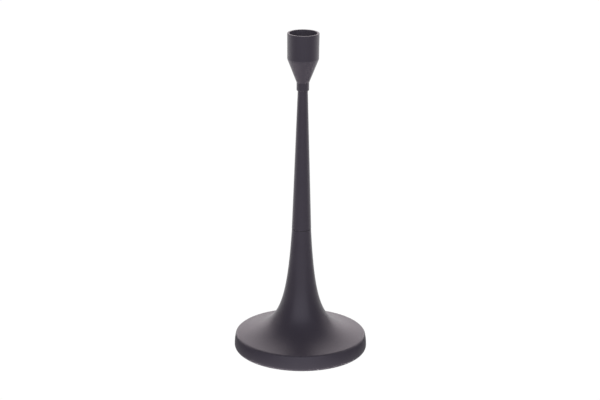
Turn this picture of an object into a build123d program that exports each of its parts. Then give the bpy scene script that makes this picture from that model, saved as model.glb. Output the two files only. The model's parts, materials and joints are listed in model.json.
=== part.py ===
"""A slender candle holder for one dinner candle, in three round metal sections.

A trumpet-shaped foot, a tapered stem and a funnel-shaped candle cup screw together on two
threaded studs, with a thin fibre washer at each joint and a felt pad glued under the foot.
Millimetres, +Z up, with the origin on the table under the middle of the felt pad.
Threads are plain cylinders at the thread's outer diameter.
"""

import os
from math import hypot

from build123d import *

# ---- Felt pad under the foot ----
felt_thickness = 1.0
felt_radius = 49.6

# ---- Foot: heights are measured from its own flat underside ----
foot_height = 104.9
foot_radius = 55.25  # at the widest, where the curved band meets the rounded lower edge
foot_lower_round = 3.2
foot_edge_height = 13.35  # where the sloping top meets the band around the edge
foot_edge_round = 2.2
foot_top_round = 0.3

# The outside is a trumpet bell: radius = bell_size / (height - bell_start) ** bell_power
bell_size = 185.6
bell_start = 7.33
bell_power = 0.688
bell_spans = 24

# The underside is hollow and the neck is solid
foot_wall = 3.2
foot_hollow_radius = 46.6
foot_hollow_height = 66.0
foot_hollow_round = 3.0

# ---- Stem ----
stem_length = 117.2
stem_bottom_radius = 8.0
stem_top_radius = 4.1
stem_chamfer = 0.25

# ---- Candle cup: heights are measured from the collar's underside ----
cup_height = 47.3
cup_lip_radius = 13.0
cup_shoulder_radius = 12.8  # where the cone meets the wall, which leans out a little
cup_cone_top = 26.1
cup_shoulder_round = 3.0
collar_radius = 5.1
collar_height = 6.6
collar_chamfer = 0.25
candle_bore_radius = 11.25  # a 22 mm dinner candle with a little room
candle_bore_depth = 22.0
lip_round = 0.35

# ---- Joint between foot and stem: an M8 x 1.25 stud, fixed in the stem ----
stem_pitch = 1.25
stem_turns = 11  # turns of thread held in the foot
stem_stud_radius = 3.95
stem_stud_grip = 14.0  # length held in the stem
stem_washer_radius = 7.45
stem_washer_thickness = 0.5

# ---- Joint between stem and cup: an M5 x 0.8 stud, fixed in the cup ----
cup_pitch = 0.8
cup_turns = 11  # turns of thread held in the stem
cup_stud_radius = 2.45
cup_stud_grip = 10.0  # length held in the cup
cup_washer_radius = 3.6
cup_washer_thickness = 0.4

# ---- Fits ----
thread_clearance = 0.08  # between a stud and the thread that it turns in
washer_clearance = 0.3  # between a stud and the bore of its washer
hole_runout = 3.0  # a tapped hole goes this much deeper than its stud
stud_point = 0.6  # chamfer on each end of a stud
countersink = 0.5  # at the mouth of each tapped hole

# ---- Levels, from the table up ----
foot_bottom = felt_thickness
foot_top = foot_bottom + foot_height
stem_bottom = foot_top + stem_washer_thickness
stem_top = stem_bottom + stem_length
cup_bottom = stem_top + cup_washer_thickness
cup_top = cup_bottom + cup_height
stem_stud_bottom = foot_top - stem_pitch * stem_turns
stem_stud_top = stem_bottom + stem_stud_grip
cup_stud_bottom = stem_top - cup_pitch * cup_turns
cup_stud_top = cup_bottom + cup_stud_grip


def bell_point(height, depth=0.0):
    """A point of the foot's flare, moved by depth into the metal, square to the flare."""
    reach = height - bell_start
    radius = bell_size / reach**bell_power
    slope = -bell_power * radius / reach  # change of radius with height
    length = hypot(1, slope)
    return radius - depth / length, foot_bottom + height + depth * slope / length


def bell_curve(low, high, depth=0.0):
    """Points of the flare from low to high, closer together where it is nearly flat."""
    start = low - bell_start
    ratio = (high - bell_start) / start
    heights = [bell_start + start * ratio ** (i / bell_spans) for i in range(bell_spans + 1)]
    return [bell_point(height, depth) for height in heights]


def bell_height(radius):
    """The height at which the flare has this radius."""
    return bell_start + (bell_size / radius) ** (1 / bell_power)


def band_radius(edge_radius, rise):
    """The radius of an arc that starts upright at the widest point and leans in to the edge."""
    lean = foot_radius - edge_radius
    return (lean**2 + rise**2) / (2 * lean)


def corner(sketch, radius, height):
    """The corner of an outline that is nearest to this radius and height."""
    return sketch.vertices().sort_by_distance((radius, height))[0]


def tapped_hole(radius, mouth, end):
    """Cuts a blind hole with a countersunk mouth, from height mouth to height end."""
    inward = countersink if end > mouth else -countersink
    with BuildSketch(Plane.XZ) as outline:
        with BuildLine():
            Polyline(
                (0, mouth),
                (radius + countersink, mouth),
                (radius, mouth + inward),
                (radius, end),
                (0, end),
                close=True,
            )
        make_face()
    revolve(outline.sketch, axis=Axis.Z, mode=Mode.SUBTRACT)


def stud(radius, bottom, top):
    """A threaded rod, chamfered at both ends."""
    with BuildSketch(Plane.XY.offset(bottom)) as section:
        Circle(radius)
    rod = extrude(section.sketch, amount=top - bottom)
    chamfer(rod.edges().filter_by(GeomType.CIRCLE), stud_point)


def washer(radius, bore_radius, bottom, thickness):
    """A flat washer."""
    with BuildSketch(Plane.XY.offset(bottom)) as section:
        Circle(radius)
        Circle(bore_radius, mode=Mode.SUBTRACT)
    extrude(section.sketch, amount=thickness)


# ---- Felt pad: a disc that closes the hollow underside of the foot ----
with BuildPart() as felt_pad:
    with BuildSketch(Plane.XY):
        Circle(felt_radius)
    extrude(amount=felt_thickness)

# ---- Foot: a hollow casting with a solid neck ----
flare = bell_curve(foot_edge_height, foot_height)
widest = (foot_radius, foot_bottom + foot_lower_round)
lining = bell_curve(bell_height(foot_hollow_radius), foot_hollow_height, foot_wall)
with BuildPart() as base:
    with BuildSketch(Plane.XZ) as foot_outline:
        with BuildLine():
            Spline(*flare)
            Polyline(
                flare[-1],
                (0, foot_top),
                (0, foot_bottom),
                (foot_radius - foot_lower_round, foot_bottom),
            )
            RadiusArc((foot_radius - foot_lower_round, foot_bottom), widest, -foot_lower_round)
            RadiusArc(widest, flare[0], -band_radius(flare[0][0], flare[0][1] - widest[1]))
        make_face()
        fillet(corner(foot_outline, *flare[0]), foot_edge_round)
        fillet(corner(foot_outline, *flare[-1]), foot_top_round)
    revolve(axis=Axis.Z)
    with BuildSketch(Plane.XZ) as hollow_outline:
        with BuildLine():
            Spline(*lining)
            Polyline(
                lining[-1],
                (0, lining[-1][1]),
                (0, foot_bottom),
                (foot_hollow_radius, foot_bottom),
                lining[0],
            )
        make_face()
        fillet(corner(hollow_outline, *lining[0]), foot_hollow_round)
        fillet(corner(hollow_outline, *lining[-1]), foot_hollow_round)
    revolve(axis=Axis.Z, mode=Mode.SUBTRACT)
    hole_end = stem_stud_bottom - hole_runout
    tapped_hole(stem_stud_radius + thread_clearance, foot_top, hole_end)

# ---- Stem: a tapered bar, tapped at both ends ----
with BuildPart() as stem:
    with BuildSketch(Plane.XZ) as stem_outline:
        with BuildLine():
            Polyline(
                (0, stem_bottom),
                (stem_bottom_radius, stem_bottom),
                (stem_top_radius, stem_top),
                (0, stem_top),
                close=True,
            )
        make_face()
        chamfer(corner(stem_outline, stem_bottom_radius, stem_bottom), stem_chamfer)
        chamfer(corner(stem_outline, stem_top_radius, stem_top), stem_chamfer)
    revolve(axis=Axis.Z)
    tapped_hole(stem_stud_radius, stem_bottom, stem_stud_top + stud_point)
    hole_end = cup_stud_bottom - hole_runout
    tapped_hole(cup_stud_radius + thread_clearance, stem_top, hole_end)

with BuildPart() as stem_stud:
    stud(stem_stud_radius, stem_stud_bottom, stem_stud_top)

with BuildPart() as stem_washer:
    washer(stem_washer_radius, stem_stud_radius + washer_clearance, foot_top, stem_washer_thickness)

# ---- Candle cup: a collar, a cone and a thin wall around the candle's bore ----
bore_floor = cup_top - candle_bore_depth
with BuildPart() as cup:
    with BuildSketch(Plane.XZ) as cup_outline:
        with BuildLine():
            Polyline(
                (0, cup_bottom),
                (collar_radius, cup_bottom),
                (collar_radius, cup_bottom + collar_height),
                (cup_shoulder_radius, cup_bottom + cup_cone_top),
                (cup_lip_radius, cup_top),
                (candle_bore_radius, cup_top),
                (candle_bore_radius, bore_floor),
                (0, bore_floor),
                close=True,
            )
        make_face()
        chamfer(corner(cup_outline, collar_radius, cup_bottom), collar_chamfer)
        shoulder = corner(cup_outline, cup_shoulder_radius, cup_bottom + cup_cone_top)
        fillet(shoulder, cup_shoulder_round)
        fillet(corner(cup_outline, cup_lip_radius, cup_top), lip_round)
        fillet(corner(cup_outline, candle_bore_radius, cup_top), lip_round)
    revolve(axis=Axis.Z)
    tapped_hole(cup_stud_radius, cup_bottom, cup_stud_top + stud_point)

with BuildPart() as cup_stud:
    stud(cup_stud_radius, cup_stud_bottom, cup_stud_top)

with BuildPart() as cup_washer:
    washer(cup_washer_radius, cup_stud_radius + washer_clearance, stem_top, cup_washer_thickness)

# ---- Files ----
pieces = {
    "felt_pad": felt_pad,
    "base": base,
    "stem": stem,
    "stem_stud": stem_stud,
    "stem_washer": stem_washer,
    "cup": cup,
    "cup_stud": cup_stud,
    "cup_washer": cup_washer,
}
os.makedirs("parts", exist_ok=True)
for name, piece in pieces.items():
    piece.part.label = name
    export_step(piece.part, f"parts/{name}.step")
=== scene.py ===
"""A slender black candle holder: the looks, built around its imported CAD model.

Each CAD node gets one piece, turned again as a fine mesh with rounded edges and, on the studs
and in their holes, helical threads. Lengths are in metres, and mm is one millimetre.
"""

import json
from math import asin, atan2, cos, hypot, pi, radians, sin, tan

import bpy
import numpy as np
from mathutils import Matrix, Vector


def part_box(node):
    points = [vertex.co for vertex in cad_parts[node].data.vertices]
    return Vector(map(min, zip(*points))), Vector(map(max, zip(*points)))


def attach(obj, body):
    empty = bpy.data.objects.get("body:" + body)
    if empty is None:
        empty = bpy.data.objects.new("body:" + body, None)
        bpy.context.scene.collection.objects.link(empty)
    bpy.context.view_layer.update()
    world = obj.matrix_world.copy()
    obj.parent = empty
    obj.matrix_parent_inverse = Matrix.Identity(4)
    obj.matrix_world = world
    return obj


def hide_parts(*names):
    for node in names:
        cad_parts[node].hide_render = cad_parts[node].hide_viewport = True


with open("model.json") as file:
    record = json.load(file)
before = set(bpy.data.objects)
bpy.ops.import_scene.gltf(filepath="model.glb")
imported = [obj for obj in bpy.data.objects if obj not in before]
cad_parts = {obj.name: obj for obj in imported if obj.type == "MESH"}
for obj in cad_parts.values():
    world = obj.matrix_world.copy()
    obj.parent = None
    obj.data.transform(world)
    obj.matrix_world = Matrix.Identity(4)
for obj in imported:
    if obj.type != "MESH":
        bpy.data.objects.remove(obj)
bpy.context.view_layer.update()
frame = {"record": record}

mm = 0.001
record = frame["record"]

# ---- Places and sizes from the CAD model ----
foot_low, foot_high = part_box("base")
stem_low, stem_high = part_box("stem")
cup_low, cup_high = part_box("cup")
felt_low, felt_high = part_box("felt_pad")
stem_stud_low, stem_stud_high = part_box("stem_stud")
cup_stud_low, cup_stud_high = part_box("cup_stud")
ratios = {c["joint"]: c["ratio"] for c in record["behaviour"]["couplings"]}
stem_pitch = 2 * pi / ratios["stem_turn"]
cup_pitch = 2 * pi / ratios["cup_turn"]
socket = next(m for m in record["mounts"] if m["name"] == "candle_socket")
bore_radius = socket["dims"]["r_mm"] * mm
bore_floor = socket["pos_m"][2] - socket["dims"]["length_mm"] * mm / 2

# ---- Foot ----
foot_radius = 55.25 * mm
foot_lower_round = 3.2 * mm
foot_edge_height = 13.35 * mm
foot_edge_round = 2.2 * mm
foot_top_round = 0.3 * mm
foot_wall = 3.2 * mm
foot_hollow_radius = 46.6 * mm
foot_hollow_height = 66.0 * mm
foot_hollow_round = 3.0 * mm
bell_spans = 72
lining_spans = 24
band_spans = 8

# The flare is a trumpet bell: radius = bell_size / (height - bell_start) ** bell_power, in mm
bell_size = 185.6
bell_start = 7.33
bell_power = 0.688

felt_round = 0.35 * mm

# ---- Stem and cup ----
stem_bottom_radius = 8.0 * mm
stem_top_radius = 4.1 * mm
stem_edge_round = 0.35 * mm
cup_lip_radius = 13.0 * mm
cup_shoulder_radius = 12.8 * mm
cup_cone_top = 26.1 * mm
cup_shoulder_round = 3.0 * mm
collar_radius = 5.1 * mm
collar_height = 6.6 * mm
collar_edge_round = 0.5 * mm
collar_fillet = 0.5 * mm
lip_round = 0.35 * mm
bore_floor_round = 0.4 * mm
washer_clearance = 0.3 * mm
bore_painted_light = 3.4  # painted light: a lighter coat in the candle's bore
joint_painted_highlight = 2.5  # a painted highlight on the edges where two pieces meet

# ---- Threads ----
thread_depth = 0.6134  # of an outside thread, in pitches
crest_flat = 1 / 16  # half the flat on a crest, in pitches
root_flat = 1 / 8  # half the flat in a root, in pitches
rows_per_pitch = 12
running_clearance = 0.08 * mm
fixed_clearance = 0.02 * mm
countersink = 0.5 * mm
stud_point = 0.6 * mm
hole_runout = 3.0 * mm
drill_slope = tan(radians(31))

# ---- Mesh fineness ----
facets = 6  # rows in a rounded edge
support = 0.15 * mm  # how far beside a rounded edge a row keeps the flat face flat
SMOOTH = -1  # the rounding of a point inside a curve
sharp_angle = radians(38)
tolerance = 0.01 * mm


# ---- Outlines: rows of (radius, height, wear and painted light) from the axis, round the metal and back ----
def arc(before, at, after):
    """Rows of the arc that rounds the corner at. The third value, edge wear together with a painted
    highlight, is 1 on an outer edge.
    """
    corner = Vector(at[:2])
    into = (corner - Vector(before[:2])).normalized()
    out = (Vector(after[:2]) - corner).normalized()
    turn = atan2(into.x * out.y - into.y * out.x, into.dot(out))
    side = 1 if turn > 0 else -1
    start = corner - into * at[2] * tan(abs(turn) / 2)
    centre = start + Vector((-into.y, into.x)) * side * at[2]
    spoke = start - centre
    rows = []
    for k in range(facets + 1):
        turned_by = Matrix.Rotation(turn * k / facets, 2)
        point = centre + turned_by @ spoke
        rows.append((point.x, point.y, 1.0 if turn > 0 and 0 < k < facets else 0.0))
    return rows


def supports(start, end, at_start, at_end):
    """Rows just inside the ends of a straight run, so that smooth shading leaves it flat."""
    length = hypot(end[0] - start[0], end[1] - start[1])
    shares = [support / length] * at_start + [1 - support / length] * at_end
    if length < 4 * support:
        shares = []
    return [
        (start[0] + (end[0] - start[0]) * share, start[1] + (end[1] - start[1]) * share, 0.0)
        for share in shares
    ]


def outline(points):
    """Rows through points of (radius, height, rounding), where 0 is a sharp corner."""
    corners = []
    for i, (radius, height, rounding) in enumerate(points):
        if rounding > 0:
            corners.append(arc(points[i - 1], points[i], points[i + 1]))
        else:
            corners.append([(radius, height, 0.0)])
    rows = list(corners[0])
    for i in range(1, len(points)):
        at_start, at_end = (p[0] > 0 and p[2] != SMOOTH for p in points[i - 1 : i + 1])
        rows += supports(corners[i - 1][-1], corners[i][0], at_start, at_end)
        rows += corners[i]
    return rows


def bell(low, high, spans, depth=0.0):
    """Points of the foot's flare from low to high, moved by depth into the metal."""
    start = low / mm - bell_start
    ratio = (high / mm - bell_start) / start
    points = []
    for i in range(spans + 1):
        reach = start * ratio ** (i / spans)
        radius = bell_size / reach**bell_power
        slope = -bell_power * radius / reach
        length = hypot(1, slope)
        height = foot_bottom + (bell_start + reach) * mm
        points.append((radius * mm - depth / length, height + depth * slope / length, SMOOTH))
    return points


def sweep(radius, height, size, low, high, spans):
    """Points on an arc of this size round (radius, height), between two angles from level."""
    angles = [low + (high - low) * i / spans for i in range(spans + 1)]
    return [(radius + size * cos(a), height + size * sin(a), SMOOTH) for a in angles]


def paint_joint_highlight(rows, low, high):
    """The same rows with a painted highlight on the coat of a rounded edge between two heights."""
    return [(r, z, wear_and_painted_light * joint_painted_highlight if low < z < high else wear_and_painted_light) for r, z, wear_and_painted_light in rows]


def rounding(point, radius):
    """The same point with another rounding."""
    return (*point[:2], radius)


# ---- Threads ----
def thread(angles, height, pitch, crest):
    """The radius of a right-hand outside thread at each angle, at one height."""
    phase = (height / pitch - angles / (2 * pi)) % 1
    off_crest = np.abs(phase - 0.5)
    flank = (off_crest - crest_flat) / (0.5 - root_flat - crest_flat)
    return crest - thread_depth * pitch * np.clip(flank, 0, 1)


def stud_rows(low, high, pitch):
    """Rows of a threaded stud with a chamfer on each end."""
    crest = high.x
    tip = crest - stud_point
    count = round((high.z - low.z) / pitch * rows_per_pitch)
    rows = [(0, low.z, 0.5)]
    for height in np.linspace(low.z, high.z, count + 1):
        limit = tip + min(height - low.z, high.z - height)

        def radius(angles, height=height, limit=limit):
            return np.minimum(thread(angles, height, pitch, crest), limit)

        # Painted light: 1 on the crest for a painted highlight, down to 0 in the root for painted
        # shade
        def wear_and_painted_light(angles, height=height):
            depth = crest - thread(angles, height, pitch, crest)
            return 1 - depth / (thread_depth * pitch)

        rows.append((radius, height, wear_and_painted_light))
    rows.append((0, high.z, 0.5))
    return rows


def hole_rows(mouth, end, pitch, crest, clearance):
    """Rows of a blind tapped hole, from the countersink at its mouth to the drilled point."""
    way = 1 if end > mouth else -1
    root = crest + clearance
    drill = root - thread_depth * pitch
    count = int(abs(end - mouth) / pitch * rows_per_pitch)
    rows = []
    for k in range(1, count):
        depth = k * pitch / rows_per_pitch
        height = mouth + way * depth
        tapped = min(max((abs(end - mouth) - depth) / pitch - 1, 0), 1)

        def radius(angles, height=height, depth=depth, tapped=tapped):
            cut = thread(angles, height, pitch, crest) + clearance
            return np.maximum(drill + (cut - drill) * tapped, root + countersink - depth)

        rows.append((radius, height, 0.0))
    rows.append((drill, end, 0.0))
    rows.append((0, end + way * drill * drill_slope, 0.0))
    return rows


# ---- Meshes ----
def turned(name, rows, segments, material, body, node):
    """A closed piece turned round Z from rows, which stands for a CAD node.

    The rows start and end on the axis, or go once round a ring's section.
    """
    angles = np.arange(segments) * 2 * pi / segments
    points, wear_and_light_values, rings = [], [], []
    for radius, height, wear_and_painted_light in rows:
        if isinstance(radius, (int, float)) and radius == 0:
            rings.append([len(points)])
            points.append((0, 0, height))
            wear_and_light_values.append(float(wear_and_painted_light))
            continue
        radii = radius(angles) if callable(radius) else np.full(segments, radius)
        worn_and_highlit = wear_and_painted_light(angles) if callable(wear_and_painted_light) else np.full(segments, wear_and_painted_light)
        rings.append(range(len(points), len(points) + segments))
        points += [(r * cos(a), r * sin(a), height) for r, a in zip(radii, angles)]
        wear_and_light_values += list(worn_and_highlit)
    if len(rings[0]) > 1:
        rings.append(rings[0])
    faces = []
    for lower, upper in zip(rings, rings[1:]):
        for j in range(segments):
            k = (j + 1) % segments
            if len(lower) == 1:
                faces.append((lower[0], upper[k], upper[j]))
            elif len(upper) == 1:
                faces.append((lower[j], lower[k], upper[0]))
            else:
                faces.append((lower[j], lower[k], upper[k], upper[j]))
    mesh = bpy.data.meshes.new(name)
    mesh.from_pydata(points, [], faces)
    mesh.shade_smooth()
    mesh.set_sharp_from_angle(angle=sharp_angle)
    attribute = mesh.attributes.new("wear_and_painted_light", "FLOAT", "POINT")
    attribute.data.foreach_set("value", wear_and_light_values)
    mesh.materials.append(material)
    piece = bpy.data.objects.new(name, mesh)
    bpy.context.scene.collection.objects.link(piece)
    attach(piece, body)
    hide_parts(node)


# ---- Material nodes ----
SHADER_SOCKETS = {
    "color": "Base Color",
    "metallic": "Metallic",
    "roughness": "Roughness",
    "normal": "Normal",
    "specular": "Specular IOR Level",
    "specular_tint": "Specular Tint",
    "sheen": "Sheen Weight",
    "sheen_roughness": "Sheen Roughness",
}


class Nodes:
    """A material's node tree around one Principled shader."""

    def __init__(self, name, **settings):
        self.material = bpy.data.materials.new(name)
        self.material.use_nodes = True
        self.tree = self.material.node_tree
        self.shader = self.tree.nodes["Principled BSDF"]
        for key, value in settings.items():
            self.shader.inputs[SHADER_SOCKETS[key]].default_value = value
        self.place = self.tree.nodes.new("ShaderNodeTexCoord").outputs["Object"]

    def add(self, kind, inputs, **settings):
        """A node with its sockets linked or set."""
        made = self.tree.nodes.new("ShaderNode" + kind)
        for key, value in settings.items():
            setattr(made, key, value)
        for key, value in inputs.items():
            if isinstance(value, bpy.types.NodeSocket):
                self.tree.links.new(value, made.inputs[key])
            else:
                made.inputs[key].default_value = value
        return made

    def noise(self, scale, detail=2.0, roughness=0.5):
        """Noise from 0 to 1 whose features are about one scale-th of a metre."""
        inputs = {"Vector": self.place, "Scale": scale, "Detail": detail, "Roughness": roughness}
        return self.add("TexNoise", inputs).outputs["Fac"]

    def ranged(self, value, low, high, to_low=0.0, to_high=1.0):
        """value from low to high mapped to to_low to to_high, and held beyond."""
        inputs = {"Value": value, "From Min": low, "From Max": high}
        inputs.update({"To Min": to_low, "To Max": to_high})
        return self.add("MapRange", inputs).outputs["Result"]

    def math(self, operation, a, b):
        """The result of one operation on two numbers."""
        return self.add("Math", {0: a, 1: b}, operation=operation).outputs[0]

    def mix(self, factor, a, b):
        """Colour a to colour b by factor."""
        return self.add("Mix", {0: factor, 6: a, 7: b}, data_type="RGBA").outputs[2]

    def bump(self, height, distance, normal=None):
        """A normal that follows height, where 1 is distance metres."""
        inputs = {"Height": height, "Distance": distance, "Strength": 1.0}
        if normal is not None:
            inputs["Normal"] = normal
        return self.add("Bump", inputs).outputs["Normal"]

    def attribute(self, name):
        """A value stored on the mesh."""
        return self.add("Attribute", {}, attribute_name=name).outputs["Fac"]

    def to_shader(self, **values):
        """Links values to the shader's sockets."""
        for key, value in values.items():
            self.tree.links.new(value, self.shader.inputs[SHADER_SOCKETS[key]])
        return self.material


def black_coat():
    """Matte black powder coat with a violet cast, a fine orange peel, and edges lightened partly by
    coat worn thin and partly by a painted highlight.
    """
    n = Nodes("black_coat", specular=0.5, specular_tint=(1.0, 0.92, 0.98, 1))
    cloud = n.ranged(n.noise(45, 3), 0.35, 0.65)
    speckle = n.ranged(n.noise(2600, 2), 0.3, 0.7)
    tone = n.mix(cloud, (0.021, 0.018, 0.029, 1), (0.026, 0.0225, 0.034, 1))
    fine = n.mix(n.math("MULTIPLY", speckle, 0.25), tone, (0.042, 0.037, 0.052, 1))
    # Lighter coat where the mesh value is high: on edges partly worn coat and partly painted
    # highlight, in the bore and at the joints painted light alone
    worn_and_highlit = n.math("MULTIPLY", n.attribute("wear_and_painted_light"), n.ranged(n.noise(700, 3), 0.4, 0.7, 0.1, 0.5))
    colour = n.mix(worn_and_highlit, fine, (0.085, 0.080, 0.092, 1))
    rough = n.ranged(n.noise(900, 2), 0.3, 0.7, 0.37, 0.44)
    rough = n.math("SUBTRACT", rough, n.math("MULTIPLY", worn_and_highlit, 0.10))
    peel = n.bump(n.noise(1500, 1), 0.010 * mm)
    grit = n.bump(n.noise(5200, 2), 0.003 * mm, peel)
    return n.to_shader(color=colour, roughness=rough, normal=grit)


def plated_steel():
    """Zinc-plated rolled thread, its crests painted brighter as a highlight and its roots darkened
    as painted shade.
    """
    n = Nodes("plated_steel", metallic=1.0)
    # Painted highlight on the crests and painted shade in the roots
    crest = n.attribute("wear_and_painted_light")
    blotch = n.ranged(n.noise(600, 3), 0.35, 0.65)
    root = n.mix(blotch, (0.30, 0.295, 0.27, 1), (0.40, 0.395, 0.37, 1))
    bright = n.mix(blotch, (0.62, 0.62, 0.60, 1), (0.70, 0.70, 0.67, 1))
    colour = n.mix(crest, root, bright)
    rough = n.ranged(n.noise(3000, 2), 0.3, 0.7, 0.26, 0.40)
    scratch = n.bump(n.noise(6000, 2), 0.003 * mm)
    return n.to_shader(color=colour, roughness=rough, normal=scratch)


def washer_fibre():
    """Black pressed fibre with a matted surface."""
    n = Nodes("washer_fibre", roughness=0.8)
    fibres = n.noise(3500, 4, 0.7)
    colour = n.mix(n.ranged(fibres, 0.35, 0.65), (0.012, 0.011, 0.012, 1), (0.030, 0.028, 0.030, 1))
    return n.to_shader(color=colour, normal=n.bump(fibres, 0.02 * mm))


def felt():
    """Black wool felt with tangled fibres and a soft sheen."""
    n = Nodes("felt", roughness=0.95, sheen=0.5, sheen_roughness=0.5)
    tangle = n.noise(1800, 6, 0.75)
    cloud = n.ranged(n.noise(150, 3), 0.35, 0.65)
    dark = n.mix(cloud, (0.014, 0.014, 0.015, 1), (0.020, 0.020, 0.022, 1))
    colour = n.mix(n.ranged(tangle, 0.4, 0.65), dark, (0.055, 0.055, 0.058, 1))
    return n.to_shader(color=colour, normal=n.bump(tangle, 0.15 * mm))


coat = black_coat()
steel = plated_steel()
fibre = washer_fibre()
wool = felt()


# ---- Foot ----
foot_bottom = foot_low.z
foot_top = foot_high.z
foot_height = foot_top - foot_bottom
rim_start = (foot_hollow_radius / mm / bell_size) ** (-1 / bell_power) + bell_start
lining = bell(rim_start * mm, foot_hollow_height, lining_spans, foot_wall)[::-1]
flare = bell(foot_edge_height, foot_height, bell_spans)
widest = foot_bottom + foot_lower_round
lean = foot_radius - flare[0][0]
rise = flare[0][1] - widest
band_size = (lean**2 + rise**2) / (2 * lean)
lower_edge = sweep(foot_radius - foot_lower_round, widest, foot_lower_round, -pi / 2, 0, facets)
band = sweep(foot_radius - band_size, widest, band_size, 0, asin(rise / band_size), band_spans)
stem_hole_end = stem_stud_low.z - hole_runout
foot_points = [
    (0, lining[0][1], 0),
    rounding(lining[0], foot_hollow_round),
    *lining[1:-1],
    rounding(lining[-1], foot_hollow_round),
    (foot_hollow_radius, foot_bottom, 0),
    *lower_edge,
    *band[1:-1],
    rounding(flare[0], foot_edge_round),
    *flare[1:-1],
    rounding(flare[-1], foot_top_round),
    (stem_stud_high.x + running_clearance + countersink, foot_top, 0),
]
# Painted highlight on the foot's top edge, under the lower washer
foot_rows = paint_joint_highlight(outline(foot_points), foot_top - foot_top_round, foot_top)
foot_rows += hole_rows(foot_top, stem_hole_end, stem_pitch, stem_stud_high.x, running_clearance)
turned("foot_casting", foot_rows, 192, coat, "foot", "base")

# ---- Felt ----
felt_points = [
    (0, felt_low.z, 0),
    (felt_high.x, felt_low.z, felt_round),
    (felt_high.x, felt_high.z, felt_round / 2),
    (0, felt_high.z, 0),
]
turned("felt_disc", outline(felt_points), 192, wool, "foot", "felt_pad")

# ---- Stem and its stud ----
lower_mouth = stem_stud_high.x + fixed_clearance + countersink
upper_mouth = cup_stud_high.x + running_clearance + countersink
lower_end = stem_stud_high.z + stud_point
upper_end = cup_stud_low.z - hole_runout
stem_points = [
    (lower_mouth, stem_low.z, 0),
    (stem_bottom_radius, stem_low.z, stem_edge_round),
    (stem_top_radius, stem_high.z, stem_edge_round),
    (upper_mouth, stem_high.z, 0),
]
stem_rows = hole_rows(stem_low.z, lower_end, stem_pitch, stem_stud_high.x, fixed_clearance)[::-1]
# Painted highlight on the stem's top edge, under the upper washer
stem_rows += paint_joint_highlight(outline(stem_points), stem_high.z - stem_edge_round, stem_high.z)
stem_rows += hole_rows(stem_high.z, upper_end, cup_pitch, cup_stud_high.x, running_clearance)
turned("stem_bar", stem_rows, 128, coat, "stem", "stem")
stud = stud_rows(stem_stud_low, stem_stud_high, stem_pitch)
turned("stem_stud_thread", stud, 96, steel, "stem", "stem_stud")

# ---- Candle cup and its stud ----
cup_top = cup_high.z
cup_bottom = cup_low.z


def on_bore(row):
    """Whether a row lies on the wall or the floor of the candle's bore."""
    radius, height, _ = row
    if callable(radius):
        return False
    return radius <= bore_radius + tolerance and height >= bore_floor - tolerance


cup_mouth = cup_stud_high.x + fixed_clearance + countersink
cup_hole_end = cup_stud_high.z + stud_point
cup_points = [
    (cup_mouth, cup_bottom, 0),
    (collar_radius, cup_bottom, collar_edge_round),
    (collar_radius, cup_bottom + collar_height, collar_fillet),
    (cup_shoulder_radius, cup_bottom + cup_cone_top, cup_shoulder_round),
    (cup_lip_radius, cup_top, lip_round),
    (bore_radius, cup_top, lip_round),
    (bore_radius, bore_floor, bore_floor_round),
    (0, bore_floor, 0),
]
cup_rows = hole_rows(cup_bottom, cup_hole_end, cup_pitch, cup_stud_high.x, fixed_clearance)[::-1]
# Painted highlight on the collar's lower edge
cup_rows += paint_joint_highlight(outline(cup_points), cup_bottom, cup_bottom + collar_edge_round)
# Painted light: the coat of the bore is lightened as if light reached into the cup
cup_rows = [(*row[:2], bore_painted_light) if on_bore(row) else row for row in cup_rows]
turned("candle_cup", cup_rows, 128, coat, "cup", "cup")
stud = stud_rows(cup_stud_low, cup_stud_high, cup_pitch)
turned("cup_stud_thread", stud, 72, steel, "cup", "cup_stud")


# ---- Washers ----
def washer(name, node, body, bore):
    """A flat ring with softly pressed edges."""
    low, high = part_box(node)
    edge = (high.z - low.z) / 4
    section = [(bore, low.z), (high.x, low.z), (high.x, high.z), (bore, high.z)]
    points = [(radius, height, edge) for radius, height in section]
    rows = []
    for i, point in enumerate(points):
        rows += arc(points[i - 1], point, points[(i + 1) % 4])
    turned(name, rows, 96, fibre, body, node)


washer("lower_fibre_ring", "stem_washer", "lower_washer", stem_stud_high.x + washer_clearance)
washer("upper_fibre_ring", "cup_washer", "upper_washer", cup_stud_high.x + washer_clearance)

# ---- Floor and backdrop: white paper that glows evenly, as in a bright studio tent ----
floor_size = 12
floor_drop = 0.1 * mm  # keeps the floor clear of the felt's underside
backdrop_radius = 2.3
paper_glow = 1.02
paper = Nodes("white_paper", color=(0, 0, 0, 1), specular=0.0)
paper.shader.inputs["Emission Color"].default_value = (1, 1, 1, 1)
paper.shader.inputs["Emission Strength"].default_value = paper_glow
bpy.ops.mesh.primitive_plane_add(size=floor_size)
floor = bpy.context.object
floor.name = "floor"
floor.location.z = -floor_drop
bpy.ops.mesh.primitive_uv_sphere_add(radius=backdrop_radius, segments=64, ring_count=32)
backdrop = bpy.context.object
backdrop.name = "backdrop"
for staged in (floor, backdrop):
    staged.data.materials.append(paper.material)
    # The camera sees the paper, and the bounce card and the softboxes light the holder
    staged.visible_diffuse = staged.visible_glossy = False
    staged.visible_transmission = staged.visible_shadow = False

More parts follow.
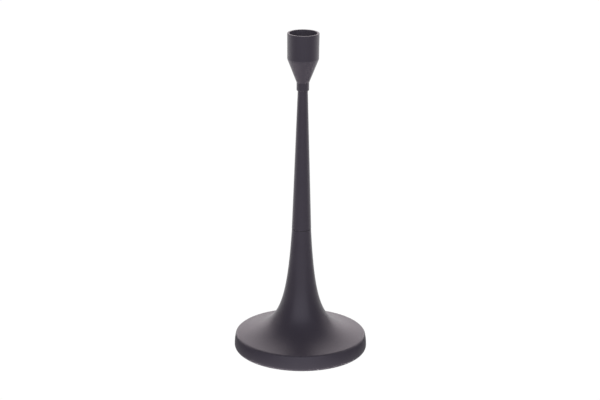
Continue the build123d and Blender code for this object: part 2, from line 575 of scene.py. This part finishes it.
# ---- Bounce card: a white card under the holder with a soft dark flag at each side ----
card_glow = 0.93  # beside the holder
card_front_glow = 0.37  # nearer the camera
card_back_glow = 0.55  # added behind the holder
card_front_fade = (-0.3, -0.06)  # where along Y the front glow turns into the card's
card_back_fade = (0.05, 0.4)
card_drop = 1 * mm
flag_place = (0.2, 0, 0)  # and its mirror image
flag_core = 0.1  # wholly dark to here
flag_reach = 0.2  # no effect from here
card = Nodes("bounce_card", color=(0, 0, 0, 1), specular=0.0)
card.shader.inputs["Emission Color"].default_value = (1, 1, 1, 1)
split = card.add("SeparateXYZ", {0: card.place}).outputs
across = card.add("Math", {0: split["X"]}, operation="ABSOLUTE").outputs[0]
sides = card.add("CombineXYZ", {"X": across, "Y": split["Y"]}).outputs["Vector"]
to_flag = card.add("VectorMath", {0: sides, 1: flag_place}, operation="DISTANCE").outputs["Value"]
lit = card.ranged(to_flag, flag_core, flag_reach)
front_glow = card.ranged(split["Y"], *card_front_fade, card_front_glow, card_glow)
back_glow = card.ranged(split["Y"], *card_back_fade, 0.0, card_back_glow)
glow = card.math("MULTIPLY", lit, card.math("ADD", front_glow, back_glow))
card.tree.links.new(glow, card.shader.inputs["Emission Strength"])
bpy.ops.mesh.primitive_plane_add(size=floor_size)
bounce = bpy.context.object
bounce.name = "bounce_card"
bounce.location.z = -card_drop
bounce.data.materials.append(card.material)
bounce.visible_camera = bounce.visible_shadow = False

# ---- Studio light ----
scene = bpy.context.scene
light_target = Vector((0, 0, 0.13))
light_distance = 2.5
warm_light = (1.06, 0.98, 1.01)
cool_light = (0.96, 1.0, 1.10)
world_glow = 0.1


def softbox(name, azimuth, elevation, width, height, radiance, colour):
    """A flat soft light that faces the holder.

    Azimuth 0 is the camera's side and 90 the right. With an elevation below 0 it shines up
    through the table.
    """
    around, up = radians(azimuth), radians(elevation)
    towards = Vector((sin(around) * cos(up), -cos(around) * cos(up), sin(up)))
    data = bpy.data.lights.new(name, "AREA")
    data.shape = "RECTANGLE"
    data.size = width
    data.size_y = height
    data.energy = radiance * pi * width * height
    data.color = colour
    # The bounce card stops rays that leave the holder for a light under the table
    data.cycles.use_multiple_importance_sampling = elevation > 0
    box = bpy.data.objects.new(name, data)
    box.location = light_target + towards * light_distance
    box.rotation_euler = towards.to_track_quat("Z", "Y").to_euler()
    scene.collection.objects.link(box)


softbox("back", 180, 20, 3.9, 1.8, 1.93, warm_light)
softbox("back_left", -120, 22, 1.34, 1.6, 0.67, warm_light)
softbox("back_right", 120, 22, 1.34, 1.6, 0.72, warm_light)
softbox("overhead", 180, 50, 4.0, 0.9, 0.83, warm_light)
softbox("front", 0, 20, 4.2, 1.8, 1.06, cool_light)
softbox("table_front", 0, -60, 2.4, 2.0, 0.23, warm_light)
softbox("table_left", -90, -60, 2.4, 2.0, 1.36, warm_light)
softbox("table_right", 90, -60, 2.4, 2.0, 0.97, warm_light)
world = bpy.data.worlds.new("studio")
world.use_nodes = True
background = world.node_tree.nodes["Background"].inputs
background["Color"].default_value = (1, 1, 1, 1)
background["Strength"].default_value = world_glow
scene.world = world

# ---- Camera ----
camera_place = Vector((-0.0247, -1.492, 0.619))
camera_pitch = radians(18.12)
camera_roll = radians(0.26)
camera_shift = 0.0472
focal_length = 114.66  # for a sensor 36 wide
lens_flare = (0.019, 0.016, 0.021)
camera_data = bpy.data.cameras.new("camera")
camera_data.lens = focal_length
camera_data.sensor_width = 36
camera_data.shift_x = camera_shift
camera = bpy.data.objects.new("camera", camera_data)
camera.matrix_world = (
    Matrix.Translation(camera_place)
    @ Matrix.Rotation(pi / 2 - camera_pitch, 4, "X")
    @ Matrix.Rotation(camera_roll, 4, "Z")
)
scene.collection.objects.link(camera)
scene.camera = camera
scene.view_settings.view_transform = "Standard"
# Flare in the lens lifts the blacks a little, as it does before a white background
scene.view_settings.use_curve_mapping = True
scene.view_settings.curve_mapping.black_level = [-share for share in lens_flare]
